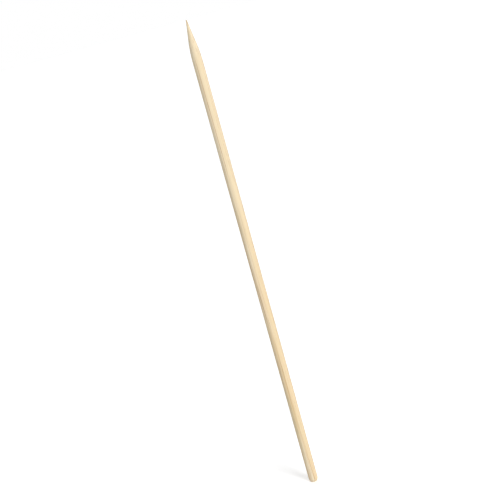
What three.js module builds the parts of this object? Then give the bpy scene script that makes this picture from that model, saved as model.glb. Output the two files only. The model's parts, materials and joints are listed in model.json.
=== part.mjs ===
// A round bamboo skewer, one solid turned from a single stick: a drawn shank with a long ground point at its top end
// and a blunt sawn butt, its rim rounded over by tumbling, at its bottom end.
//
// Millimetres. The stick runs along +Z, with the origin at the centre of the sawn butt face and the point at the top.

import * as THREE from "three";

// Driving dimensions.

const STICK_LENGTH = 150; // from the sawn face to the end of the point
const SHANK_DIAMETER = 3;
const POINT_ANGLE = 18.4; // included angle of the ground cone, in degrees
const SHOULDER_LENGTH = 7; // along the stick, where the shank rounds over into the cone
const TIP_RADIUS = 0.15; // what is left of the very end after grinding
const BEVEL_LENGTH = 1.2; // along the stick, the rounded rim of the butt
const BEVEL_DEPTH = 0.35; // how far that rim comes in from the shank, at the sawn face

// How finely the round surfaces are drawn.

const SIDES = 48;
const SHANK_BANDS = 12;
const SHOULDER_STEPS = 12;
const CONE_BANDS = 3;
const TIP_STEPS = 5;
const BEVEL_STEPS = 6;

const BAMBOO_COLOUR = 0xecd7ae;

const shankRadius = SHANK_DIAMETER / 2;

/** Points along an arc of a circle, from one angle to the other, in radians anticlockwise from +X. */
function arcPoints(centreX, centreY, radius, from, to, steps) {
  const clockwise = to < from;
  return new THREE.EllipseCurve(centreX, centreY, radius, radius, from, to, clockwise).getPoints(steps);
}

/** Points along a straight line, both ends included. */
function linePoints(start, end, bands) {
  return new THREE.LineCurve(start, end).getPoints(bands);
}

/**
 * The rim of the butt: an arc that leaves the sawn face at an edge and runs out onto the shank without one, so its
 * centre is level with the end of the bevel.
 */
function bevelProfile() {
  const radius = (BEVEL_LENGTH ** 2 + BEVEL_DEPTH ** 2) / (2 * BEVEL_DEPTH);
  const sweep = Math.asin(BEVEL_LENGTH / radius);
  return arcPoints(shankRadius - radius, BEVEL_LENGTH, radius, -sweep, 0, BEVEL_STEPS);
}

/**
 * The ground end: the shoulder arc is tangent to the shank and to the cone, and the cone is tangent to the ball that
 * rounds the tip. The cone is as long as its angle needs, measured down from the end of the stick.
 */
function pointProfile() {
  const flank = THREE.MathUtils.degToRad(POINT_ANGLE / 2);
  const tipCentre = STICK_LENGTH - TIP_RADIUS;
  const tip = arcPoints(0, tipCentre, TIP_RADIUS, flank, Math.PI / 2, TIP_STEPS);
  const coneEnd = tip[0];

  const shoulderRadius = SHOULDER_LENGTH / Math.sin(flank);
  const coneStartRadius = shankRadius - shoulderRadius * (1 - Math.cos(flank));
  const coneLength = (coneStartRadius - coneEnd.x) / Math.tan(flank);
  const coneStart = new THREE.Vector2(coneStartRadius, coneEnd.y - coneLength);

  const shoulderCentreX = shankRadius - shoulderRadius;
  const shoulderCentreY = coneStart.y - SHOULDER_LENGTH;
  const shoulder = arcPoints(shoulderCentreX, shoulderCentreY, shoulderRadius, 0, flank, SHOULDER_STEPS);
  return [...shoulder, ...linePoints(coneStart, coneEnd, CONE_BANDS).slice(1), ...tip.slice(1)];
}

/** Half of the stick's lengthwise section, from the middle of the sawn face round to the end of the point. */
function stickProfile() {
  const bevel = bevelProfile();
  const point = pointProfile();
  const shank = linePoints(bevel[bevel.length - 1], point[0], SHANK_BANDS).slice(1, -1);
  const profile = [...bevel, ...shank, ...point];
  profile[profile.length - 1].x = 0;
  return [new THREE.Vector2(0, 0), ...profile];
}

function makeSkewer() {
  const geometry = new THREE.LatheGeometry(stickProfile(), SIDES);
  const material = new THREE.MeshStandardMaterial({ color: BAMBOO_COLOUR, roughness: 0.6, metalness: 0 });
  const skewer = new THREE.Mesh(geometry, material);
  skewer.name = "skewer";
  skewer.rotation.x = Math.PI / 2; // a lathe turns about Y, and the stick stands along Z
  return skewer;
}

const model = new THREE.Group();
model.add(makeSkewer());

export default model;
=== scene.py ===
"""A round bamboo skewer, dressed for its portrait.

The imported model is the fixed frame, in metres: the stick runs up +Z from the middle of its sawn butt face
to the end of its ground point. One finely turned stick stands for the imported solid. It carries what drawing,
grinding and sawing leave on bamboo: scores and faint flats along the shank, a shoulder that isn't quite
level round the stick, rings on the cone and furrows across the butt. The strands of the wood run right
through it, so they show as streaks on the shank, as long tongues on the point and as dots on the butt.
"""

from __future__ import annotations

import json
import logging
import math
from collections.abc import Sequence
from dataclasses import dataclass
from enum import Enum

import bpy
import numpy as np
from mathutils import Color, Matrix, Vector

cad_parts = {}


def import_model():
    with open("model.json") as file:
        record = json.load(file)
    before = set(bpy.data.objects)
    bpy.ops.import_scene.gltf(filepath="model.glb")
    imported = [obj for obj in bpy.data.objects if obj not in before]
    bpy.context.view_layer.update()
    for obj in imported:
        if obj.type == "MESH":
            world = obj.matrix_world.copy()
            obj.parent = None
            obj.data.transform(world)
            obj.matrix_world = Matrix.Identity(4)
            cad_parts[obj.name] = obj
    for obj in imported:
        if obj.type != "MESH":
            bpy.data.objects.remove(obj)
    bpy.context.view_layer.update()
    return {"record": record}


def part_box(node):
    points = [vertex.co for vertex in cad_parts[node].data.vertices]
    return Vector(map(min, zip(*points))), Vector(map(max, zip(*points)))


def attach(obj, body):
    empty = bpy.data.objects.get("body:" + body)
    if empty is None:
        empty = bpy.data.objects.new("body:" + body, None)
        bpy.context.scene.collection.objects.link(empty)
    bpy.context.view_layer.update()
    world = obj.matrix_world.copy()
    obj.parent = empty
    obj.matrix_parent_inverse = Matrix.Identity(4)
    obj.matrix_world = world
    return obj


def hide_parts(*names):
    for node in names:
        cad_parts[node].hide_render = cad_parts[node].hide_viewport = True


LOG = logging.getLogger("skewer")

MM = 0.001
NODE = "skewer"
BODY = "root"
SLOT = "bamboo"
PIECE = "bamboo_skewer"
BAKE_MAP = "OFBake"
DISPLAY_STEPS = 255
WHITE = (1.0, 1.0, 1.0, 1.0)

Socket = bpy.types.NodeSocket
Colour = tuple[float, float, float]
Input = Socket | float | Sequence[float]
Corner = tuple[int, float]


def painted(red: int, green: int, blue: int) -> Colour:
    """The linear colour of a display colour, whose parts run from 0 to 255."""
    return tuple((Color((red, green, blue)) / DISPLAY_STEPS).from_srgb_to_scene_linear())


def eased(values: np.ndarray, start: float, end: float) -> np.ndarray:
    """A smooth step from 0, at start and before it, to 1, at end and beyond it."""
    share = np.clip((values - start) / (end - start), 0.0, 1.0)
    return share * share * (3.0 - 2.0 * share)


def swung(phase: np.ndarray) -> np.ndarray:
    """A wave that swings between 0 and 1, at each phase in radians."""
    return 0.5 + 0.5 * np.sin(phase)


def turned_apart(angle: np.ndarray, centre: np.ndarray | float) -> np.ndarray:
    """How far each angle round the stick is from a centre, the short way round, in radians."""
    return np.abs((angle - centre + math.pi) % math.tau - math.pi)


def bearing(azimuth: float, elevation: float) -> Vector:
    """The way from the stick towards something round it.

    Args:
        azimuth: 0 is -Y, where the camera stands, and 90 is +X, in degrees.
        elevation: the angle above the horizon, in degrees.

    Returns:
        The way, one metre long.
    """
    turn, rise = math.radians(azimuth), math.radians(elevation)
    return Vector((math.sin(turn) * math.cos(rise), -math.cos(turn) * math.cos(rise), math.sin(rise)))


class Cut(Enum):
    """A way in which the surface was cut, with the mesh attribute that says how far it shows."""

    SAWN = "sawn"
    GROUND = "ground"


@dataclass(frozen=True)
class StickShape:
    """The form that the maker aims at, as packed: a shank with a ground point and a bevelled butt."""

    length: float
    radius: float
    point_angle: float = math.radians(18.4)
    shoulder_length: float = 7.0 * MM
    tip_radius: float = 0.15 * MM
    bevel_length: float = 1.2 * MM
    bevel_depth: float = 0.35 * MM

    @property
    def flank(self) -> float:
        """The angle between the cone's side and the stick."""
        return self.point_angle / 2

    @property
    def shoulder_radius(self) -> float:
        """The radius of the arc that leads the shank over into the cone."""
        return self.shoulder_length / math.sin(self.flank)

    @property
    def bevel_radius(self) -> float:
        """The radius of the arc that rounds the rim of the butt."""
        return (self.bevel_length**2 + self.bevel_depth**2) / (2 * self.bevel_depth)

    @property
    def cone_top(self) -> float:
        """The height at which the cone meets the ball of the tip."""
        return self.length - self.tip_radius * (1 - math.sin(self.flank))

    @property
    def cone_foot(self) -> float:
        """The height at which the shoulder's arc meets the cone.

        Returns:
            The height, in metres.
        """
        wide = self.radius - self.shoulder_radius * (1 - math.cos(self.flank))
        narrow = self.tip_radius * math.cos(self.flank)
        return self.cone_top - (wide - narrow) / math.tan(self.flank)

    @property
    def shoulder_foot(self) -> float:
        """The height at which the shank starts to lean in."""
        return self.cone_foot - self.shoulder_length

    def radius_at(self, height: np.ndarray) -> np.ndarray:
        """The stick's radius at each height above the sawn face.

        Args:
            height: the heights.

        Returns:
            The radii, in the same shape.
        """
        below = np.clip(self.bevel_length - height, 0.0, self.bevel_length)
        bevel = self.radius - self.bevel_radius + np.sqrt(self.bevel_radius**2 - below**2)
        above = np.clip(height - self.shoulder_foot, 0.0, self.shoulder_length)
        shoulder = self.radius - self.shoulder_radius + np.sqrt(self.shoulder_radius**2 - above**2)
        cone = self.tip_radius * math.cos(self.flank) + (self.cone_top - height) * math.tan(self.flank)
        over = np.clip(height - self.length + self.tip_radius, 0.0, self.tip_radius)
        tip = np.sqrt(self.tip_radius**2 - over**2)
        stretches = [height < self.bevel_length, height < self.cone_foot, height < self.cone_top]
        return np.select(stretches, [bevel, shoulder, cone], tip)


@dataclass(frozen=True)
class Score:
    """A shallow line that a nick in the drawing die ploughed along the shank, with a slight twist."""

    angle: float
    drift: float
    width: float
    depth: float
    start: float
    end: float
    fade: float

    def cut(self, shape: StickShape, angle: np.ndarray, height: np.ndarray) -> np.ndarray:
        """How deep the score lies.

        Args:
            shape: the stick's form.
            angle: each point's angle round the stick.
            height: its height.

        Returns:
            The depths, in metres.
        """
        off = shape.radius * turned_apart(angle, self.angle + self.drift * height / shape.length)
        begun = eased(height, self.start, self.start + self.fade)
        ended = eased(height, self.end - self.fade, self.end)
        return self.depth * begun * (1 - ended) * np.exp(-((2 * off / self.width) ** 2))


@dataclass(frozen=True)
class Flat:
    """A faint flat that sways along the shank, where the split blank was too thin to fill the die."""

    angle: float
    sway: float
    phase: float
    width: float
    depth: float

    def cut(self, shape: StickShape, angle: np.ndarray, height: np.ndarray) -> np.ndarray:
        """How deep the flat lies.

        Args:
            shape: the stick's form.
            angle: each point's angle round the stick.
            height: its height.

        Returns:
            The depths, in metres.
        """
        sway = self.sway * np.sin(math.tau * height / shape.length + self.phase)
        return self.depth * (1 - eased(turned_apart(angle, self.angle + sway), 0.0, self.width))


@dataclass(frozen=True)
class Swell:
    """A slow rise and fall of the shank's thickness, which comes later on one side than on the other."""

    pitch: float
    phase: float
    way: float
    depth: float

    def cut(self, shape: StickShape, angle: np.ndarray, height: np.ndarray) -> np.ndarray:
        """How far the shank falls short of its full radius.

        Args:
            shape: the stick's form; not used.
            angle: each point's angle round the stick.
            height: its height.

        Returns:
            The shortfalls, in metres.
        """
        lag = self.phase + np.sin(angle + self.way)
        return self.depth * swung(math.tau * height / self.pitch + lag)


@dataclass(frozen=True)
class DrawnShank:
    """The shank's surface, as the drawing die left it. All of its marks are cut into the stick's form."""

    shape: StickShape
    seed: int = 4021
    score_count: int = 26
    score_depth: tuple[float, float] = (0.004 * MM, 0.016 * MM)
    score_width: tuple[float, float] = (0.09 * MM, 0.24 * MM)
    score_length: tuple[float, float] = (14 * MM, 80 * MM)
    score_fade: float = 5 * MM
    score_drift: float = 0.2
    flat_count: int = 5
    flat_depth: tuple[float, float] = (0.007 * MM, 0.022 * MM)
    flat_width: float = 0.42
    flat_sway: float = 0.35
    swell_depth: float = 0.014 * MM
    swell_pitches: tuple[float, ...] = (61 * MM, 27 * MM, 11.3 * MM)

    def score(self, draw: np.random.Generator) -> Score:
        """Draws one score, which may start below the shank or end above it.

        Args:
            draw: the source of the random numbers.

        Returns:
            The score.
        """
        length = draw.uniform(*self.score_length)
        start = draw.uniform(-length / 2, self.shape.cone_foot - length / 2)
        return Score(
            angle=draw.uniform(0, math.tau),
            drift=draw.uniform(-self.score_drift, self.score_drift),
            width=draw.uniform(*self.score_width),
            depth=draw.uniform(*self.score_depth),
            start=start,
            end=start + length,
            fade=self.score_fade,
        )

    def flat(self, draw: np.random.Generator) -> Flat:
        """Draws one flat, which runs the whole length of the shank.

        Args:
            draw: the source of the random numbers.

        Returns:
            The flat.
        """
        return Flat(
            angle=draw.uniform(0, math.tau),
            sway=self.flat_sway,
            phase=draw.uniform(0, math.tau),
            width=self.flat_width,
            depth=draw.uniform(*self.flat_depth),
        )

    def marks(self) -> list[Score | Flat | Swell]:
        """Draws all the marks, the same ones every time.

        Returns:
            The scores, the flats and the swells.
        """
        draw = np.random.default_rng(self.seed)
        scores = [self.score(draw) for _ in range(self.score_count)]
        flats = [self.flat(draw) for _ in range(self.flat_count)]
        share = self.swell_depth / len(self.swell_pitches)
        swells = []
        for pitch in self.swell_pitches:
            phase, way = draw.uniform(0, math.tau, 2)
            swells.append(Swell(pitch, phase, way, share))
        return scores + flats + swells

    def depth(self, angle: np.ndarray, height: np.ndarray) -> np.ndarray:
        """How deep the marks lie under the stick's form, taken together.

        Args:
            angle: each point's angle round the stick.
            height: its height.

        Returns:
            The depths, in metres.
        """
        return sum(mark.cut(self.shape, angle, height) for mark in self.marks())


@dataclass(frozen=True)
class GroundPoint:
    """The ground end: the belt bit unevenly round the shoulder, and left rings on the cone."""

    shape: StickShape
    lean: float = 0.55 * MM
    lean_way: float = 0.67
    lobes: int = 3
    lobe_depth: float = 0.22 * MM
    lobe_way: float = 1.7
    blend: float = 3.5 * MM
    ring_depth: float = 0.006 * MM
    ring_pitches: tuple[float, ...] = (1.9 * MM, 0.83 * MM, 0.47 * MM)
    ring_fade_radius: float = 0.5 * MM

    @property
    def foot(self) -> float:
        """The lowest place that the belt reached."""
        return self.shape.shoulder_foot - self.lean - self.lobe_depth

    def slip(self, angle: np.ndarray, height: np.ndarray) -> np.ndarray:
        """How much lower than aimed at each side was ground: most at the shoulder, and nothing at the tip.

        Args:
            angle: each point's angle round the stick.
            height: its height.

        Returns:
            The slips, in metres, and none below the foot.
        """
        lean = self.lean * swung(angle + self.lean_way)
        lobes = self.lobe_depth * swung(self.lobes * angle + self.lobe_way)
        kept = 1 - eased(height, self.shape.cone_foot, self.shape.cone_top)
        return (lean + lobes) * kept * (height >= self.foot)

    def share(self, height: np.ndarray) -> np.ndarray:
        """How far the ground surface has taken over from the drawn one at each height, from 0 to 1."""
        return eased(height, self.shape.shoulder_foot, self.shape.shoulder_foot + self.blend)

    def depth(self, angle: np.ndarray, height: np.ndarray, radius: np.ndarray) -> np.ndarray:
        """How deep the belt's rings lie under the cone, fading out where it gets thin.

        Args:
            angle: each point's angle round the stick.
            height: its height.
            radius: the stick's radius there.

        Returns:
            The depths, in metres.
        """
        pitches = enumerate(self.ring_pitches, start=1)
        waves = [swung(math.tau * height / pitch + turn * np.sin(angle + turn)) for turn, pitch in pitches]
        return self.ring_depth * sum(waves) / len(waves) * eased(radius, 0.0, self.ring_fade_radius)


@dataclass(frozen=True)
class SawnButt:
    """The blunt end, across which the saw's teeth left fine furrows."""

    furrow_depth: float = 0.012 * MM
    furrow_pitches: tuple[float, ...] = (0.65 * MM, 0.24 * MM)
    way: float = math.radians(34)

    def depth(self, x: np.ndarray | float, y: np.ndarray | float) -> np.ndarray:
        """How deep the teeth went into the face.

        Args:
            x: each point's place along X.
            y: its place along Y.

        Returns:
            The depths, in metres.
        """
        across = x * math.cos(self.way) + y * math.sin(self.way)
        waves = [swung(math.tau * across / pitch) for pitch in self.furrow_pitches]
        return self.furrow_depth * sum(waves) / len(waves)


@dataclass(frozen=True)
class FlatMap:
    """The surface laid out flat for baking: slit lengthwise, and cut across into columns side by side."""

    sides: int
    columns: int = 4
    gutter: float = 0.012

    def spots(self, outline: np.ndarray, faces: list[list[Corner]]) -> np.ndarray:
        """Where each face's corners lie on the map.

        Args:
            outline: the distance from the axis and the height of each ring.
            faces: the faces, each corner as its ring and its turn.

        Returns:
            The corners' places, face after face.
        """
        steps = np.hypot(*np.diff(outline, axis=0).T)
        along = np.concatenate([[0.0], np.cumsum(steps)]) / steps.sum() * self.columns
        room = 1 - 2 * self.gutter
        found = []
        for corners in faces:
            rings = [ring for ring, _ in corners]
            middle = (along[min(rings)] + along[max(rings)]) / 2
            column = min(int(middle), self.columns - 1)
            for ring, turn in corners:
                across = self.gutter + room * turn / self.sides
                found.append(((column + across) / self.columns, self.gutter + room * (along[ring] - column)))
        return np.array(found, np.float32)


@dataclass(frozen=True)
class TurnedStick:
    """The stick's fine mesh: rings up the whole outline, cut by the tools' marks and closed at both ends."""

    shape: StickShape
    shank: DrawnShank
    point: GroundPoint
    butt: SawnButt
    sides: int = 128
    face_rings: int = 15
    bevel_rings: int = 10
    tip_rings: int = 9
    shank_pitch: float = 0.4 * MM
    point_pitch: float = 0.11 * MM
    sharp_angle: float = math.radians(28)

    def heights(self) -> np.ndarray:
        """The heights of the wall's rings, from the rim of the sawn face to the last ring under the tip.

        Returns:
            The heights, as a column that rises.
        """
        shape, foot = self.shape, self.point.foot
        shank_rings = round((foot - shape.bevel_length) / self.shank_pitch)
        point_rings = round((shape.cone_top - foot) / self.point_pitch)
        bevel = np.linspace(0.0, shape.bevel_length, self.bevel_rings, endpoint=False)
        shank = np.linspace(shape.bevel_length, foot, shank_rings, endpoint=False)
        point = np.linspace(foot, shape.cone_top, point_rings, endpoint=False)
        rise = np.linspace(shape.flank, math.pi / 2, self.tip_rings, endpoint=False)
        tip = shape.length - shape.tip_radius * (1 - np.sin(rise))
        return np.concatenate([bevel, shank, point, tip])[:, None]

    def wall(self, angle: np.ndarray, height: np.ndarray) -> np.ndarray:
        """The radius of the finished stick.

        Args:
            angle: each point's angle round the stick.
            height: its height.

        Returns:
            The radii, in metres.
        """
        aimed = height + self.point.slip(angle, height)
        radius = self.shape.radius_at(aimed)
        ground = self.point.share(aimed)
        drawn = self.shank.depth(angle, height) * (1 - ground)
        return radius - drawn - self.point.depth(angle, height, radius) * ground

    def rings(self) -> np.ndarray:
        """Every ring's points, from the middle of the sawn face out to its rim and then up the wall.

        Returns:
            The points, as rings by sides by three.
        """
        angle = np.linspace(0, math.tau, self.sides, endpoint=False)[None, :]
        height = self.heights()
        wall = self.wall(angle, height)
        shares = np.arange(1, self.face_rings + 1)[:, None] / (self.face_rings + 1)
        radius = np.concatenate([shares * wall[:1], wall])
        x, y = radius * np.cos(angle), radius * np.sin(angle)
        face = self.butt.depth(x[: self.face_rings], y[: self.face_rings])
        z = np.concatenate([face, np.broadcast_to(height, wall.shape)])
        return np.stack([x, y, z], axis=2)

    def faces(self, ring_count: int) -> list[list[Corner]]:
        """The faces, seen from outside: a fan at each end, and rows of four-sided faces between.

        Args:
            ring_count: how many rings there are between the middle of the butt, as ring 0, and the tip.

        Returns:
            The faces, each corner as its ring and its turn, in sides of the stick.
        """
        made = []
        for ring in range(ring_count + 1):
            for side in range(self.sides):
                if ring == 0:
                    made.append([(0, side + 0.5), (1, side + 1), (1, side)])
                elif ring == ring_count:
                    made.append([(ring, side), (ring, side + 1), (ring + 1, side + 0.5)])
                else:
                    made.append([(ring, side), (ring, side + 1), (ring + 1, side + 1), (ring + 1, side)])
        return made

    def vertex(self, ring: int, turn: float, ring_count: int) -> int:
        """The number of the vertex at a corner.

        Args:
            ring: its ring.
            turn: its turn.
            ring_count: how many rings there are between the two end vertices.

        Returns:
            The number, where 0 is the middle of the butt and the last one is the tip.
        """
        if ring == 0:
            return 0
        if ring > ring_count:
            return 1 + ring_count * self.sides
        return 1 + (ring - 1) * self.sides + int(turn) % self.sides

    def mesh(self) -> bpy.types.Mesh:
        """Builds the mesh, smooth but for the rim of the sawn face, with its map for the bake.

        Returns:
            The mesh.
        """
        rings = self.rings()
        middle = [[0.0, 0.0, self.butt.depth(0.0, 0.0)]]
        tip = [[0.0, 0.0, self.shape.length]]
        points = np.concatenate([middle, rings.reshape(-1, 3), tip])
        faces = self.faces(len(rings))
        numbered = [[self.vertex(ring, turn, len(rings)) for ring, turn in corners] for corners in faces]
        mesh = bpy.data.meshes.new(PIECE)
        mesh.from_pydata(points.tolist(), [], numbered)

        section = np.concatenate([middle, rings[:, 0], tip])
        outline = np.stack([np.hypot(section[:, 0], section[:, 1]), section[:, 2]], axis=1)
        spots = FlatMap(self.sides).spots(outline, faces)
        mesh.uv_layers.new(name=BAKE_MAP).uv.foreach_set("vector", spots.ravel())
        self.note_cuts(mesh, points)
        mesh.shade_smooth()
        mesh.set_sharp_from_angle(angle=self.sharp_angle)
        mesh.validate()
        return mesh

    def note_cuts(self, mesh: bpy.types.Mesh, points: np.ndarray) -> None:
        """Notes on the mesh how each point was cut.

        Args:
            mesh: the mesh, which gets an attribute for each kind of cut.
            points: its points.
        """
        x, y, z = points.T
        ground = self.point.share(z + self.point.slip(np.arctan2(y, x), z))
        face_points = 1 + (self.face_rings + 1) * self.sides
        sawn = (np.arange(len(points)) < face_points).astype(float)
        for cut, share in ((Cut.GROUND, ground), (Cut.SAWN, sawn)):
            attribute = mesh.attributes.new(cut.value, "FLOAT", "POINT")
            attribute.data.foreach_set("value", share.astype(np.float32))


@dataclass
class NodeBench:
    """A workbench for one material: it places shader nodes in rows and joins them."""

    tree: bpy.types.NodeTree
    placed: int = 0
    per_row: int = 8
    gap: float = 220.0

    def place(self, kind: str, **settings: object) -> bpy.types.Node:
        """Adds a node.

        Args:
            kind: the node's type, less the word that all shader nodes start with.
            settings: its properties, by name.

        Returns:
            The node.
        """
        node = self.tree.nodes.new("ShaderNode" + kind)
        node.location = (self.gap * (self.placed % self.per_row), -self.gap * (self.placed // self.per_row))
        self.placed += 1
        for name, value in settings.items():
            setattr(node, name, value)
        return node

    def feed(self, target: Socket, value: Input) -> None:
        """Joins a socket to another, or writes its own value.

        Args:
            target: the input.
            value: what it takes.
        """
        if isinstance(value, Socket):
            self.tree.links.new(value, target)
        else:
            target.default_value = value

    def worked(self, node: bpy.types.Node, values: Sequence[Input]) -> Socket:
        """Feeds a node's inputs in order.

        Args:
            node: the node.
            values: what its first inputs take.

        Returns:
            Its first output.
        """
        for target, value in zip(node.inputs, values):
            self.feed(target, value)
        return node.outputs[0]

    def maths(self, operation: str, *values: Input) -> Socket:
        """One sum on plain numbers."""
        return self.worked(self.place("Math", operation=operation), values)

    def vector(self, operation: str, *values: Input) -> Socket:
        """One sum on vectors."""
        return self.worked(self.place("VectorMath", operation=operation), values)

    def parts(self, vector: Input) -> tuple[Socket, ...]:
        """The vector's three parts.

        Args:
            vector: the vector.

        Returns:
            Its X, Y and Z.
        """
        node = self.place("SeparateXYZ")
        self.feed(node.inputs[0], vector)
        return tuple(node.outputs)

    def ramp(self, value: Input, start: float, end: float, low: float = 0.0, high: float = 1.0) -> Socket:
        """A smooth step from low, where the value is start, to high, where it is end.

        Args:
            value: what is eased.
            start: where the step begins.
            end: where it ends.
            low: what it begins at.
            high: what it ends at.

        Returns:
            The eased value.
        """
        node = self.place("MapRange", interpolation_type="SMOOTHSTEP")
        return self.worked(node, (value, start, end, low, high))

    def mixed(self, share: Input, under: Input, over: Colour) -> Socket:
        """Lays a share of one colour over another.

        Args:
            share: how much of the upper colour shows.
            under: the colour beneath.
            over: the upper colour.

        Returns:
            The mixed colour.
        """
        node = self.place("Mix", data_type="RGBA")
        sockets = {socket.identifier: socket for socket in node.inputs}
        self.feed(sockets["Factor_Float"], share)
        self.feed(sockets["A_Color"], under if isinstance(under, Socket) else (*under, 1.0))
        self.feed(sockets["B_Color"], (*over, 1.0))
        return next(socket for socket in node.outputs if socket.identifier == "Result_Color")

    def share_of(self, cut: Cut) -> Socket:
        """How far a way of cutting shows, read from the mesh."""
        return self.place("Attribute", attribute_name=cut.value).outputs["Fac"]

    def seen_directly(self) -> Socket:
        """Tells what the camera sees, straight or in a mirror or through glass, from what only gives light.

        Returns:
            1 for what it sees, and 0 for the rest.
        """
        path = self.place("LightPath")
        mirrored = self.maths("MAXIMUM", path.outputs["Is Camera Ray"], path.outputs["Is Glossy Ray"])
        return self.maths("MAXIMUM", mirrored, path.outputs["Is Transmission Ray"])


@dataclass(frozen=True)
class Streaks:
    """Soft streaks along the grain, with their width and length in millimetres.

    Detail and roughness say how finely they break up. Away moves them off, so that two sets of streaks
    don't fall together.
    """

    width: float
    length: float
    detail: float = 2.0
    roughness: float = 0.5
    away: float = 0.0

    def laid(self, bench: NodeBench, grain: Socket) -> Socket:
        """Lays the streaks.

        Args:
            bench: where the nodes are made.
            grain: the place across and along the grain, in millimetres.

        Returns:
            How strong they are at each place, about 0.5 on average.
        """
        scaled = bench.vector("DIVIDE", grain, (self.width, self.width, self.length))
        noise = bench.place("TexNoise", noise_dimensions="3D")
        bench.feed(noise.inputs["Vector"], bench.vector("ADD", scaled, (self.away,) * 3))
        noise.inputs["Scale"].default_value = 1.0
        noise.inputs["Detail"].default_value = self.detail
        noise.inputs["Roughness"].default_value = self.roughness
        return noise.outputs[0]


@dataclass(frozen=True)
class Stain:
    """A colour that comes in where its streaks are strong enough, and shows by a share at most."""

    colour: Colour
    streaks: Streaks
    starts: float
    full: float
    share: float

    def over(self, bench: NodeBench, grain: Socket, under: Input) -> Socket:
        """Lays the stain over a colour.

        Args:
            bench: where the nodes are made.
            grain: the place across and along the grain, in millimetres.
            under: the colour beneath.

        Returns:
            The stained colour.
        """
        shown = bench.ramp(self.streaks.laid(bench, grain), self.starts, self.full, 0.0, self.share)
        return bench.mixed(shown, under, self.colour)


@dataclass(frozen=True)
class Grain:
    """How the wood lies in the stick, never quite in line with it. Its lengths are in millimetres."""

    slope: tuple[float, float] = (0.0085, 0.0045)
    wander: float = 0.5
    wander_length: float = 48.0

    def laid(self, bench: NodeBench, place: Socket) -> Socket:
        """Takes the grain's slope and wander out of a place.

        Args:
            bench: where the nodes are made.
            place: the place in millimetres.

        Returns:
            The place across the grain as X and Y, with the way along it left as it was.
        """
        rise = bench.parts(place)[2]
        slope = bench.vector("SCALE", (*self.slope, 0.0))
        bench.feed(slope.node.inputs["Scale"], rise)
        drift = bench.place("TexNoise", noise_dimensions="1D")
        bench.feed(drift.inputs["W"], bench.maths("DIVIDE", rise, self.wander_length))
        drift.inputs["Scale"].default_value = 1.0
        drift.inputs["Detail"].default_value = 1.0
        wander = bench.vector("MULTIPLY", drift.outputs["Color"], (self.wander, self.wander, 0.0))
        return bench.vector("ADD", bench.vector("ADD", place, slope), wander)


@dataclass(frozen=True)
class Strands:
    """The tan strands along the wood, with their lengths in millimetres.

    Crowding draws them together towards the bark, and scatter moves them off their even pitch. A strand is
    full out to its core and ends at its rim, both in shares of the pitch, and uneven makes some smaller.
    Palest is how dark the palest one is. Where its fading is weak, a strand keeps no more than fades_to.
    """

    pitch: tuple[float, float] = (0.42, 0.52)
    crowding: float = 0.16
    scatter: float = 0.85
    core: float = 0.16
    rim: float = 0.38
    uneven: float = 0.2
    palest: float = 0.25
    fading: Streaks = Streaks(width=0.55, length=20.0)
    fades: tuple[float, float] = (0.38, 0.58)
    fades_to: float = 0.55

    def laid(self, bench: NodeBench, grain: Socket) -> tuple[Socket, Socket]:
        """Lays the strands across the grain.

        Args:
            bench: where the nodes are made.
            grain: the place across and along the grain, in millimetres.

        Returns:
            How much of a strand each place holds, and how dark that strand is there.
        """
        x, y, _ = bench.parts(grain)
        crowded = bench.maths("MULTIPLY_ADD", bench.maths("MULTIPLY", x, x), self.crowding, x)
        flat = bench.place("CombineXYZ")
        bench.feed(flat.inputs["X"], bench.maths("DIVIDE", crowded, self.pitch[0]))
        bench.feed(flat.inputs["Y"], bench.maths("DIVIDE", y, self.pitch[1]))
        cells = bench.place("TexVoronoi", voronoi_dimensions="2D", feature="F1")
        bench.feed(cells.inputs["Vector"], flat.outputs[0])
        cells.inputs["Scale"].default_value = 1.0
        cells.inputs["Randomness"].default_value = self.scatter
        chances = bench.place("SeparateColor")
        bench.feed(chances.inputs[0], cells.outputs["Color"])
        reach = bench.maths("MULTIPLY_ADD", chances.outputs[0], self.uneven, cells.outputs["Distance"])
        strand = bench.ramp(reach, self.rim, self.core)
        dark = bench.maths("MULTIPLY_ADD", chances.outputs[1], 1 - self.palest, self.palest)
        kept = bench.ramp(self.fading.laid(bench, grain), *self.fades, self.fades_to, 1.0)
        return strand, bench.maths("MULTIPLY", dark, kept)


@dataclass(frozen=True)
class Vessels:
    """The short dark vessels, which open in the strands alone, where their pores are strong enough."""

    pores: Streaks = Streaks(width=0.067, length=2.8, detail=1.0)
    starts: float = 0.58
    full: float = 0.7
    share: float = 0.6

    def laid(self, bench: NodeBench, grain: Socket, strand: Socket) -> Socket:
        """Opens the vessels.

        Args:
            bench: where the nodes are made.
            grain: the place across and along the grain, in millimetres.
            strand: how much of a strand there is.

        Returns:
            How far a vessel is open at each place.
        """
        pore = bench.ramp(self.pores.laid(bench, grain), self.starts, self.full, 0.0, self.share)
        return bench.maths("MULTIPLY", pore, strand)


@dataclass(frozen=True)
class Wood:
    """What the wood holds at each place of the surface.

    It gives the place itself in millimetres, the place across and along the grain, how far a fibre stands
    up, how much of a strand there is and how dark it is, how far a vessel is open, and how far the surface
    was ground or sawn.
    """

    place: Socket
    grain: Socket
    fibre: Socket
    strand: Socket
    dark: Socket
    vessel: Socket
    ground: Socket
    sawn: Socket


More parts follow.
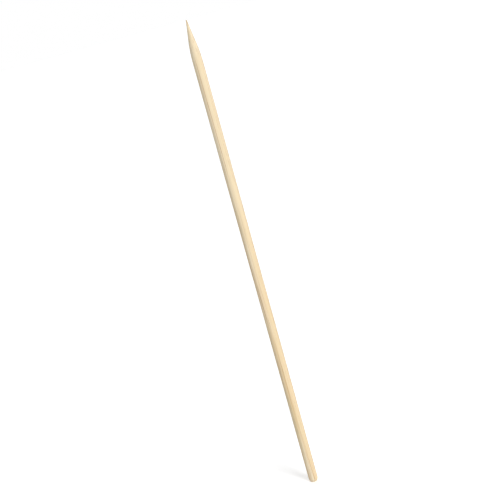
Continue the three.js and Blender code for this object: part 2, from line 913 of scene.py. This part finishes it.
@dataclass(frozen=True)
class Tones:
    """The wood's colours, and how much of each shows.

    Lengths are in millimetres. The bark's side comes in across the stick, between two places. The bleached
    end comes in along it, between two shares of its length.
    """

    pith: Colour
    length: float
    fibres: Streaks
    pale: Colour = painted(247, 233, 204)
    blush: Colour = painted(246, 222, 188)
    tan: Colour = painted(226, 196, 146)
    bark_side: Colour = painted(236, 212, 168)
    strand: Colour = painted(188, 146, 88)
    vessel: Colour = painted(128, 86, 44)
    end_grain: Colour = painted(214, 182, 130)
    scorched: Colour = painted(196, 164, 118)
    bark_reach: tuple[float, float] = (0.2, 1.7)
    bark_share: float = 0.6
    bleached_reach: tuple[float, float] = (0.45, 0.8)
    bleached_share: float = 0.42
    strand_share: float = 0.62
    ground_share: float = 0.25
    scorch_length: float = 2.2
    scorch_share: float = 0.7
    sawn_share: float = 0.45

    def stains(self) -> tuple[Stain, ...]:
        """The stains between the strands, from the widest to the finest.

        Returns:
            The stains, in the order in which they are laid.
        """
        return (
            Stain(self.pale, Streaks(width=2.5, length=33.0), starts=0.32, full=0.66, share=1.0),
            Stain(self.blush, Streaks(width=2.0, length=22.0, away=7.0), starts=0.42, full=0.66, share=0.6),
            Stain(self.tan, Streaks(width=0.42, length=50.0, detail=1.0), starts=0.45, full=0.72, share=0.4),
            Stain(self.tan, self.fibres, starts=0.45, full=0.78, share=0.5),
            Stain(self.strand, Streaks(width=0.2, length=62.0, detail=1.0), starts=0.6, full=0.7, share=0.5),
        )

    def laid(self, bench: NodeBench, wood: Wood) -> Socket:
        """Lays the stains, the bark's side and the paler end first, then strands, vessels and both ends.

        Args:
            bench: where the nodes are made.
            wood: what the wood holds.

        Returns:
            The colour.
        """
        across, height, top = bench.parts(wood.grain)[0], bench.parts(wood.place)[2], self.length
        starts, full = self.bleached_reach
        colour: Input = self.pith
        for stain in self.stains():
            colour = stain.over(bench, wood.grain, colour)
        shown = bench.maths("MULTIPLY", wood.strand, wood.dark)
        layers = (
            (bench.ramp(across, *self.bark_reach, 0.0, self.bark_share), self.bark_side),
            (bench.ramp(height, starts * top, full * top, 0.0, self.bleached_share), self.pale),
            (bench.maths("MULTIPLY", shown, self.strand_share), self.strand),
            (wood.vessel, self.vessel),
            (bench.maths("MULTIPLY", wood.ground, self.ground_share), self.pale),
            (bench.ramp(height, top - self.scorch_length, top, 0.0, self.scorch_share), self.scorched),
            (bench.maths("MULTIPLY", wood.sawn, self.sawn_share), self.end_grain),
        )
        for share, over in layers:
            colour = bench.mixed(share, colour, over)
        return colour


@dataclass(frozen=True)
class Dullness:
    """How rough the wood is: as drawn, and what fibres, grinding and sawing each add."""

    drawn: float = 0.39
    fibres: float = 0.16
    ground: float = 0.13
    sawn: float = 0.27

    def laid(self, bench: NodeBench, wood: Wood) -> Socket:
        """Adds the roughness up.

        Args:
            bench: where the nodes are made.
            wood: what the wood holds.

        Returns:
            The roughness.
        """
        dull = bench.maths("MULTIPLY_ADD", wood.fibre, self.fibres, self.drawn)
        dull = bench.maths("MULTIPLY_ADD", wood.ground, self.ground, dull)
        return bench.maths("MULTIPLY_ADD", wood.sawn, self.sawn, dull)


@dataclass(frozen=True)
class Relief:
    """The finest relief: raised fibres, sunk strands and vessels, and scratches round the ground point."""

    depth: float = 0.02 * MM
    strength: float = 0.7
    strand_sink: float = 0.35
    vessel_sink: float = 0.8
    scratch_rise: float = 0.8
    scratches: Streaks = Streaks(width=3.3, length=0.125, roughness=0.6)

    def laid(self, bench: NodeBench, wood: Wood) -> Socket:
        """Bends the surface's normal.

        Args:
            bench: where the nodes are made.
            wood: what the wood holds.

        Returns:
            The bent normal.
        """
        scratch = bench.maths("MULTIPLY", self.scratches.laid(bench, wood.place), wood.ground)
        height = bench.maths("MULTIPLY_ADD", wood.strand, -self.strand_sink, wood.fibre)
        height = bench.maths("MULTIPLY_ADD", wood.vessel, -self.vessel_sink, height)
        height = bench.maths("MULTIPLY_ADD", scratch, self.scratch_rise, height)
        bump = bench.place("Bump")
        bump.inputs["Strength"].default_value = self.strength
        bump.inputs["Distance"].default_value = self.depth
        bench.feed(bump.inputs["Height"], height)
        return bump.outputs[0]


@dataclass(frozen=True)
class BambooFinish:
    """Bare bamboo: cream pith between tan strands, satin where it was drawn and matt where it was ground."""

    pith: Colour
    length: float
    grain: Grain = Grain()
    strands: Strands = Strands()
    vessels: Vessels = Vessels()
    fibres: Streaks = Streaks(width=0.11, length=11.0, detail=3.0, roughness=0.6)
    dullness: Dullness = Dullness()
    relief: Relief = Relief()
    specular: float = 0.25

    def wood(self, bench: NodeBench) -> Wood:
        """Grows the wood round the stick, and reads how the surface was cut.

        Args:
            bench: where the nodes are made.

        Returns:
            What the wood holds at each place.
        """
        place = bench.vector("DIVIDE", bench.place("TexCoord").outputs["Object"], (MM,) * 3)
        grain = self.grain.laid(bench, place)
        strand, dark = self.strands.laid(bench, grain)
        return Wood(
            place=place,
            grain=grain,
            fibre=self.fibres.laid(bench, grain),
            strand=strand,
            dark=dark,
            vessel=self.vessels.laid(bench, grain, strand),
            ground=bench.share_of(Cut.GROUND),
            sawn=bench.share_of(Cut.SAWN),
        )

    def material(self) -> bpy.types.Material:
        """Builds the finish.

        Returns:
            The material.
        """
        material = bpy.data.materials.new(SLOT)
        material.use_nodes = True
        material.node_tree.nodes.clear()
        bench = NodeBench(material.node_tree)
        wood = self.wood(bench)
        tones = Tones(self.pith, self.length / MM, self.fibres)
        surface = bench.place("BsdfPrincipled")
        bench.feed(surface.inputs["Base Color"], tones.laid(bench, wood))
        bench.feed(surface.inputs["Roughness"], self.dullness.laid(bench, wood))
        bench.feed(surface.inputs["Normal"], self.relief.laid(bench, wood))
        surface.inputs["Specular IOR Level"].default_value = self.specular
        bench.feed(bench.place("OutputMaterial").inputs["Surface"], surface.outputs[0])
        return material


@dataclass(frozen=True)
class Skewer:
    """The skewer: one piece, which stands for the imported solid."""

    shape: StickShape
    pith: Colour

    def build(self) -> bpy.types.Object:
        """Makes the stick, dresses it and sets it on its body.

        Returns:
            The finished piece.
        """
        stick = TurnedStick(self.shape, DrawnShank(self.shape), GroundPoint(self.shape), SawnButt())
        piece = bpy.data.objects.new(PIECE, stick.mesh())
        piece.data.materials.append(BambooFinish(self.pith, self.shape.length).material())
        bpy.context.scene.collection.objects.link(piece)
        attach(piece, BODY)
        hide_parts(NODE)
        return piece


@dataclass(frozen=True)
class Lamp:
    """A soft lamp, so far off that it lights the whole stick evenly. Its angles are in degrees."""

    name: str
    azimuth: float
    elevation: float
    strength: float
    width: float

    def hang(self) -> None:
        """Hangs the lamp, aimed at the stick."""
        light = bpy.data.lights.new(self.name, "SUN")
        light.energy = self.strength
        light.angle = math.radians(self.width)
        way = bearing(self.azimuth, self.elevation)
        lamp = bpy.data.objects.new(self.name, light)
        lamp.location = way
        lamp.rotation_euler = (-way).to_track_quat("-Z", "Y").to_euler()
        bpy.context.scene.collection.objects.link(lamp)


@dataclass(frozen=True)
class Floor:
    """A pale floor that runs out of sight. It looks white, but keeps the stick's shadow."""

    side: float = 12.0
    grey: float = 0.8
    lift: float = 0.42

    def material(self) -> bpy.types.Material:
        """Builds the floor's paint, which glows a little for the camera alone.

        Returns:
            The material.
        """
        material = bpy.data.materials.new("floor")
        material.use_nodes = True
        material.node_tree.nodes.clear()
        bench = NodeBench(material.node_tree)
        paint = bench.place("BsdfDiffuse")
        paint.inputs["Color"].default_value = (self.grey, self.grey, self.grey, 1.0)
        glow = bench.place("Emission")
        glow.inputs["Color"].default_value = WHITE
        bench.feed(glow.inputs["Strength"], bench.maths("MULTIPLY", bench.seen_directly(), self.lift))
        both = bench.worked(bench.place("AddShader"), (paint.outputs[0], glow.outputs[0]))
        bench.feed(bench.place("OutputMaterial").inputs["Surface"], both)
        return material

    def lay(self) -> None:
        """Lays the floor under the butt."""
        half = self.side / 2
        corners = [(-half, -half, 0.0), (half, -half, 0.0), (half, half, 0.0), (-half, half, 0.0)]
        mesh = bpy.data.meshes.new("floor")
        mesh.from_pydata(corners, [], [range(len(corners))])
        mesh.materials.append(self.material())
        floor = bpy.data.objects.new("floor", mesh)
        bpy.context.scene.collection.objects.link(floor)


@dataclass(frozen=True)
class Daylight:
    """Even light from all round, in front of a white backdrop."""

    strength: float = 0.27
    backdrop: float = 1.0

    def let_in(self) -> None:
        """Sets the world up."""
        world = bpy.data.worlds.new("daylight")
        world.use_nodes = True
        world.node_tree.nodes.clear()
        bench = NodeBench(world.node_tree)
        sky = bench.place("Background")
        sky.inputs["Color"].default_value = WHITE
        extra = self.backdrop - self.strength
        strength = bench.maths("MULTIPLY_ADD", bench.seen_directly(), extra, self.strength)
        bench.feed(sky.inputs["Strength"], strength)
        bench.feed(bench.place("OutputWorld").inputs["Surface"], sky.outputs[0])
        bpy.context.scene.world = world


@dataclass(frozen=True)
class Portrait:
    """The camera: in front, looking a little down, and turned so that the stick leans to the left.

    Its angles are in degrees, and the stick fills a share of the picture.
    """

    shape: StickShape
    elevation: float = 17.5
    distance: float = 0.27
    lean: float = 15.5
    filled: float = 0.92
    nearest: float = 0.01
    furthest: float = 24.0

    def stand(self) -> None:
        """Stands the camera up and chooses the lens with which the stick fills the frame."""
        ends = (Vector((0, 0, 0)), Vector((0, 0, self.shape.length)))
        eye = (ends[0] + ends[1]) / 2 + bearing(0.0, self.elevation) * self.distance
        aim = sum(((end - eye).normalized() for end in ends), Vector())
        tilt = Matrix.Rotation(-math.radians(self.lean), 3, "Z")
        turn = aim.to_track_quat("-Z", "Y").to_matrix() @ tilt
        seen = [turn.transposed() @ (end - eye) for end in ends]
        spread = max(abs(seen[1][way] / seen[1].z - seen[0][way] / seen[0].z) for way in (0, 1))
        lens = bpy.data.cameras.new("camera")
        lens.lens = lens.sensor_width * self.filled / spread
        lens.clip_start, lens.clip_end = self.nearest, self.furthest
        camera = bpy.data.objects.new("camera", lens)
        camera.matrix_world = Matrix.Translation(eye) @ turn.to_4x4()
        bpy.context.scene.collection.objects.link(camera)
        bpy.context.scene.camera = camera


@dataclass(frozen=True)
class Studio:
    """All that stands round the skewer: floor, daylight, lamps and camera."""

    floor: Floor
    daylight: Daylight
    lamps: tuple[Lamp, ...]
    portrait: Portrait

    def build(self) -> None:
        """Sets the studio up and shows its colours as they are."""
        self.floor.lay()
        self.daylight.let_in()
        for lamp in self.lamps:
            lamp.hang()
        self.portrait.stand()
        bpy.context.scene.view_settings.view_transform = "Standard"


LAMPS = (
    Lamp("key", azimuth=36.0, elevation=30.0, strength=2.24, width=24.0),
    Lamp("fill", azimuth=-52.0, elevation=20.0, strength=0.15, width=60.0),
    Lamp("back", azimuth=192.0, elevation=32.0, strength=1.3, width=60.0),
)


def main() -> None:
    """Loads the frame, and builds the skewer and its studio."""
    logging.basicConfig(level=logging.INFO, format="%(name)s: %(message)s")
    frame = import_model()
    low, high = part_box(NODE)
    shape = StickShape(length=high.z - low.z, radius=(high.x - low.x) / 2)
    finishes = {material["slot"]: material for material in frame["record"]["materials"]}
    piece = Skewer(shape, tuple(finishes[SLOT]["base_color"])).build()
    LOG.info("%s is turned, with %d faces", piece.name, len(piece.data.polygons))
    Studio(Floor(), Daylight(), LAMPS, Portrait(shape)).build()
    LOG.info("the studio is set, with %d lamps", len(LAMPS))


if __name__ == "__main__":
    main()
